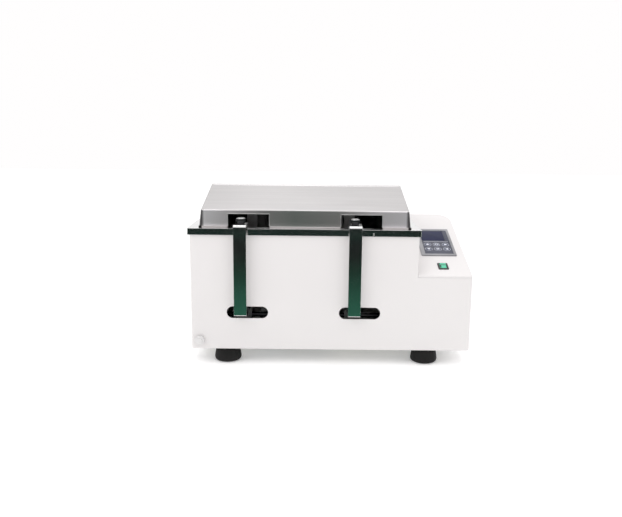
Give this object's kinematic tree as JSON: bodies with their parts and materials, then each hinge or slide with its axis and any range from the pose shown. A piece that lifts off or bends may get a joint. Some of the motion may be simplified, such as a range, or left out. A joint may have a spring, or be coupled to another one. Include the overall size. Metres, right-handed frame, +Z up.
{
  "type": "shaking water bath",
  "caption": "Bench-top heated water bath with a roofed stainless lid, a shaking platform hung from outside arms and a sloping control console.",
  "frame": {"origin": "on the bench top below the middle of the object", "axes": "+X to the right seen from the front, +Y to the back, +Z up"},
  "size_m": [0.7046, 0.404, 0.438],
  "materials": {
    "white_paint": "fine powder coat",
    "zinc_sheet": "zinc plated",
    "stainless_satin": "satin brushed",
    "stainless_mirror": "mirror polished",
    "chrome": "bright plated",
    "black_rubber": "matte",
    "mineral_wool": "fibrous",
    "brass_fitting": "turned",
    "motor_enamel": "semi-gloss",
    "white_plastic": "moulded",
    "silver_frame": "satin anodised",
    "navy_overlay": "printed film",
    "key_blue": "embossed film",
    "display_glass": "glossy, dark",
    "black_plastic": "fine grain",
    "green_lens": "translucent, lit",
    "circuit_board": "solder mask"
  },
  "bodies": {
    "casing": {"base_plate": "zinc_sheet", "bulkhead": "white_paint", "console_cover": "white_paint", "control_board": "circuit_board", "display_bezel": "silver_frame", "display_window": "display_glass", "drain_pipe": "white_plastic", "drive_motor": "motor_enamel", "foot_screws": "chrome", "front_guide_rod": "chrome", "front_left_foot": "black_rubber", "front_right_foot": "black_rubber", "gearbox": "motor_enamel", "heater_element": "stainless_satin", "heater_glands": "brass_fitting", "insulation_pads": "mineral_wool", "keypad_panel": "navy_overlay", "motor_bracket": "zinc_sheet", "outer_casing": "white_paint", "power_inlet": "black_plastic", "rear_guide_rod": "chrome", "rear_left_foot": "black_rubber", "rear_panel": "white_paint", "rear_right_foot": "black_rubber", "rear_screws": "chrome", "rod_supports": "zinc_sheet", "solid_state_relay": "zinc_sheet", "switch_housing": "black_plastic", "tank": "stainless_mirror", "temperature_probe": "stainless_satin", "transformer": "motor_enamel"},
    "carriage": {"carriage_frame": "motor_enamel", "bearing_blocks": "zinc_sheet", "arm_bolts": "chrome", "platform_hangers": "stainless_satin", "shaking_platform": "stainless_satin", "flask_clips": "stainless_satin", "front_left_arm": "stainless_mirror", "front_right_arm": "stainless_mirror", "rear_left_arm": "stainless_mirror", "rear_right_arm": "stainless_mirror"},
    "lid": {"lid": "stainless_satin", "lid_pads": "black_rubber"},
    "con_rod": {"con_rod": "zinc_sheet"},
    "crank": {"crank_disc": "zinc_sheet"},
    "rocker": {"switch_rocker": "green_lens"},
    "drain_cap": {"drain_cap": "white_plastic"},
    "front_left_knob": {"front_left_knob": "chrome"},
    "front_right_knob": {"front_right_knob": "chrome"},
    "key_1": {"key_1": "key_blue"},
    "key_2": {"key_2": "key_blue"},
    "key_3": {"key_3": "key_blue"},
    "key_4": {"key_4": "key_blue"},
    "key_5": {"key_5": "key_blue"},
    "key_6": {"key_6": "key_blue"},
    "rear_left_knob": {"rear_left_knob": "chrome"},
    "rear_right_knob": {"rear_right_knob": "chrome"}
  },
  "joints": [
    {"name": "platform_shake", "type": "slide", "parent": "casing", "child": "carriage", "axis": [1, 0, 0], "range_m": [-0.005, 0.035]},
    {"name": "lid_lift", "type": "slide", "parent": "casing", "child": "lid", "axis": [0, 0, 1], "range_m": [0, 0.25]},
    {"name": "front_left_knob_turn", "type": "hinge", "parent": "carriage", "child": "front_left_knob", "pos_m": [-0.22175, -0.166, 0.354], "axis": [0, 0, 1], "continuous": true},
    {"name": "front_right_knob_turn", "type": "hinge", "parent": "carriage", "child": "front_right_knob", "pos_m": [0.05825, -0.166, 0.354], "axis": [0, 0, 1], "continuous": true},
    {"name": "rear_left_knob_turn", "type": "hinge", "parent": "carriage", "child": "rear_left_knob", "pos_m": [-0.22175, 0.166, 0.354], "axis": [0, 0, 1], "continuous": true},
    {"name": "rear_right_knob_turn", "type": "hinge", "parent": "carriage", "child": "rear_right_knob", "pos_m": [0.05825, 0.166, 0.354], "axis": [0, 0, 1], "continuous": true},
    {"name": "link_swing", "type": "hinge", "parent": "carriage", "child": "con_rod", "pos_m": [-0.08785, 0, 0.118], "axis": [0, 0, 1], "range_deg": [-5, 23]},
    {"name": "crank_turn", "type": "hinge", "parent": "casing", "child": "crank", "pos_m": [-0.15175, 0, 0.106], "axis": [0, 0, 1], "continuous": true},
    {"name": "power_switch", "type": "hinge", "parent": "casing", "child": "rocker", "pos_m": [0.28525, -0.12932, 0.24475], "axis": [1, 0, 0], "range_deg": [-14, 0]},
    {"name": "drain_cap_turn", "type": "hinge", "parent": "casing", "child": "drain_cap", "pos_m": [-0.32625, -0.18, 0.06], "axis": [0, 1, 0], "continuous": true},
    {"name": "key_1_press", "type": "slide", "parent": "casing", "child": "key_1", "axis": [0, 0.3072, -0.9516], "range_m": [0, 0.001], "stiffness_N_per_m": 300, "springref_m": -0.0005},
    {"name": "key_2_press", "type": "slide", "parent": "casing", "child": "key_2", "axis": [0, 0.3072, -0.9516], "range_m": [0, 0.001], "stiffness_N_per_m": 300, "springref_m": -0.0005},
    {"name": "key_3_press", "type": "slide", "parent": "casing", "child": "key_3", "axis": [0, 0.3072, -0.9516], "range_m": [0, 0.001], "stiffness_N_per_m": 300, "springref_m": -0.0005},
    {"name": "key_4_press", "type": "slide", "parent": "casing", "child": "key_4", "axis": [0, 0.3072, -0.9516], "range_m": [0, 0.001], "stiffness_N_per_m": 300, "springref_m": -0.0005},
    {"name": "key_5_press", "type": "slide", "parent": "casing", "child": "key_5", "axis": [0, 0.3072, -0.9516], "range_m": [0, 0.001], "stiffness_N_per_m": 300, "springref_m": -0.0005},
    {"name": "key_6_press", "type": "slide", "parent": "casing", "child": "key_6", "axis": [0, 0.3072, -0.9516], "range_m": [0, 0.001], "stiffness_N_per_m": 300, "springref_m": -0.0005}
  ]
}
